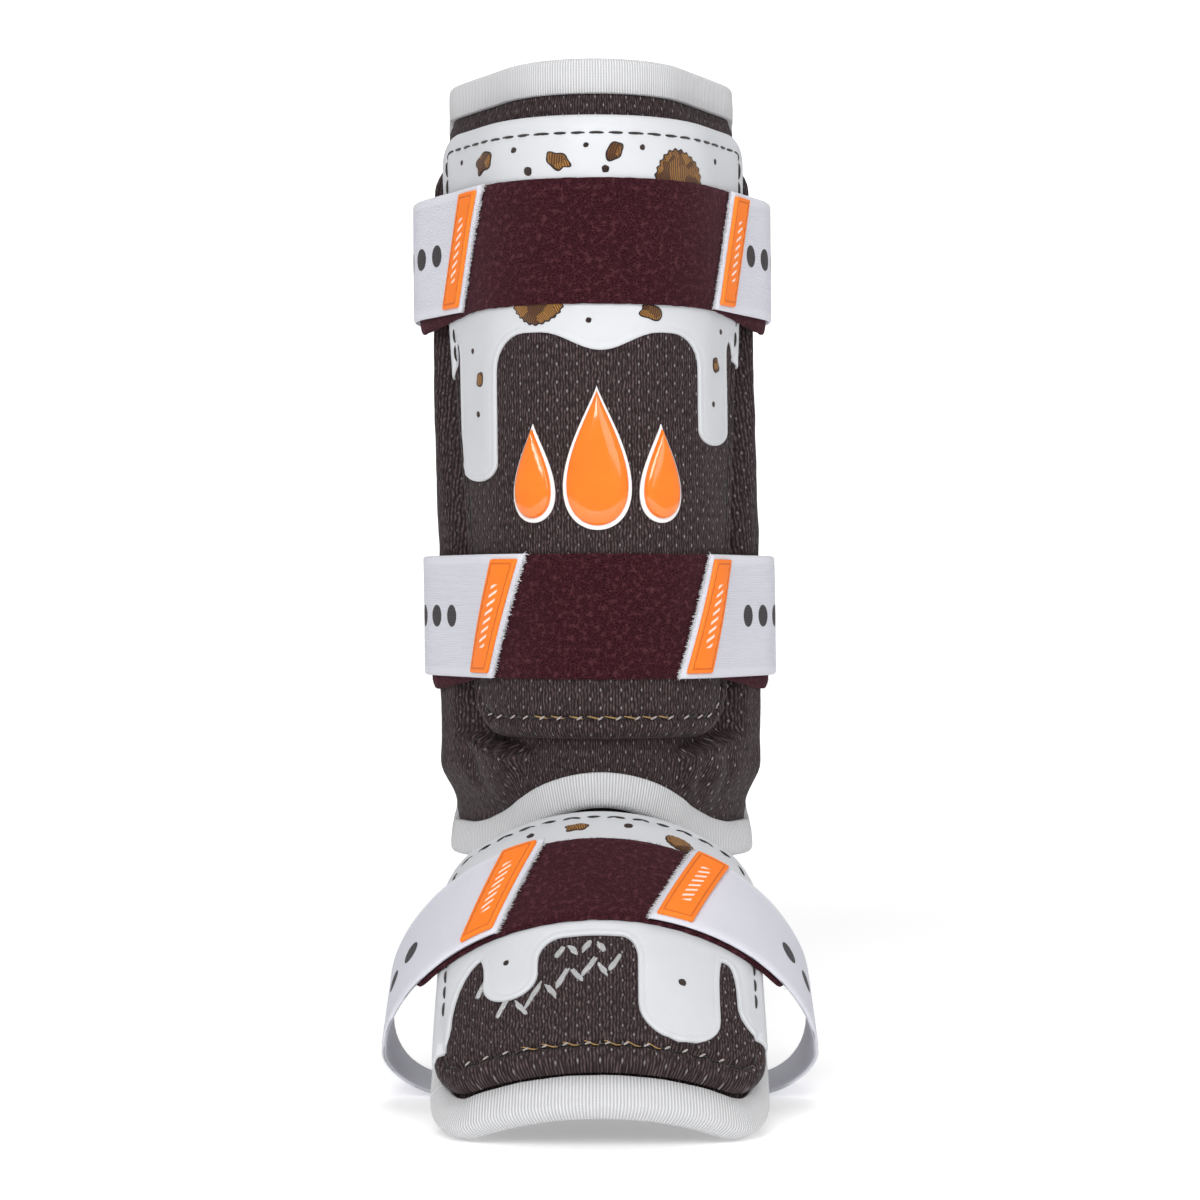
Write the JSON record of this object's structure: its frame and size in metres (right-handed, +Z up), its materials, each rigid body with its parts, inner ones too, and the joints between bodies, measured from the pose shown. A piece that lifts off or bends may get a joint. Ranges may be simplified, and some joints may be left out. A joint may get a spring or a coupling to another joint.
{
  "type": "batter's leg guard",
  "caption": "Padded shin guard with an instep guard hinged below it, held on by wide elastic straps that fasten to fuzzy panels.",
  "frame": {"origin": "centre of the bottom of the bounding box", "axes": "+Z up the leg, -Y towards the front of the guard, +X to the right as the guard is seen from the front"},
  "size_m": [0.1712, 0.26, 0.4155],
  "materials": {
    "mesh_brown": "knitted mesh over foam",
    "lining_brown": "plain woven fabric",
    "tape_grey": "ribbed grosgrain tape",
    "vinyl_white": "smooth vinyl sheet",
    "loop_burgundy": "brushed loop fabric",
    "elastic_white": "woven elastic webbing",
    "rubber_orange": "matt moulded rubber",
    "motif_white": "smooth moulded rubber",
    "gel_orange": "glossy moulded gel"
  },
  "bodies": {
    "root": {"shin_pad": "mesh_brown", "shin_binding": "tape_grey", "shin_plate": "mesh_brown", "shin_overlay": "vinyl_white", "loop_panel_upper": "loop_burgundy", "loop_panel_lower": "loop_burgundy", "loop_panel_instep": "loop_burgundy", "strap_upper": "elastic_white", "strap_lower": "elastic_white", "strap_instep": "elastic_white", "tab_upper_left": "rubber_orange", "tab_upper_right": "rubber_orange", "tab_lower_left": "rubber_orange", "tab_lower_right": "rubber_orange", "tab_instep_left": "rubber_orange", "tab_instep_right": "rubber_orange", "motif_base_left": "motif_white", "motif_base_middle": "motif_white", "motif_base_right": "motif_white", "motif_gel_left": "gel_orange", "motif_gel_middle": "gel_orange", "motif_gel_right": "gel_orange", "ankle_hinge": "lining_brown", "instep_pad": "mesh_brown", "instep_binding": "tape_grey", "instep_plate": "mesh_brown", "instep_overlay": "vinyl_white"}
  },
  "joints": []
}
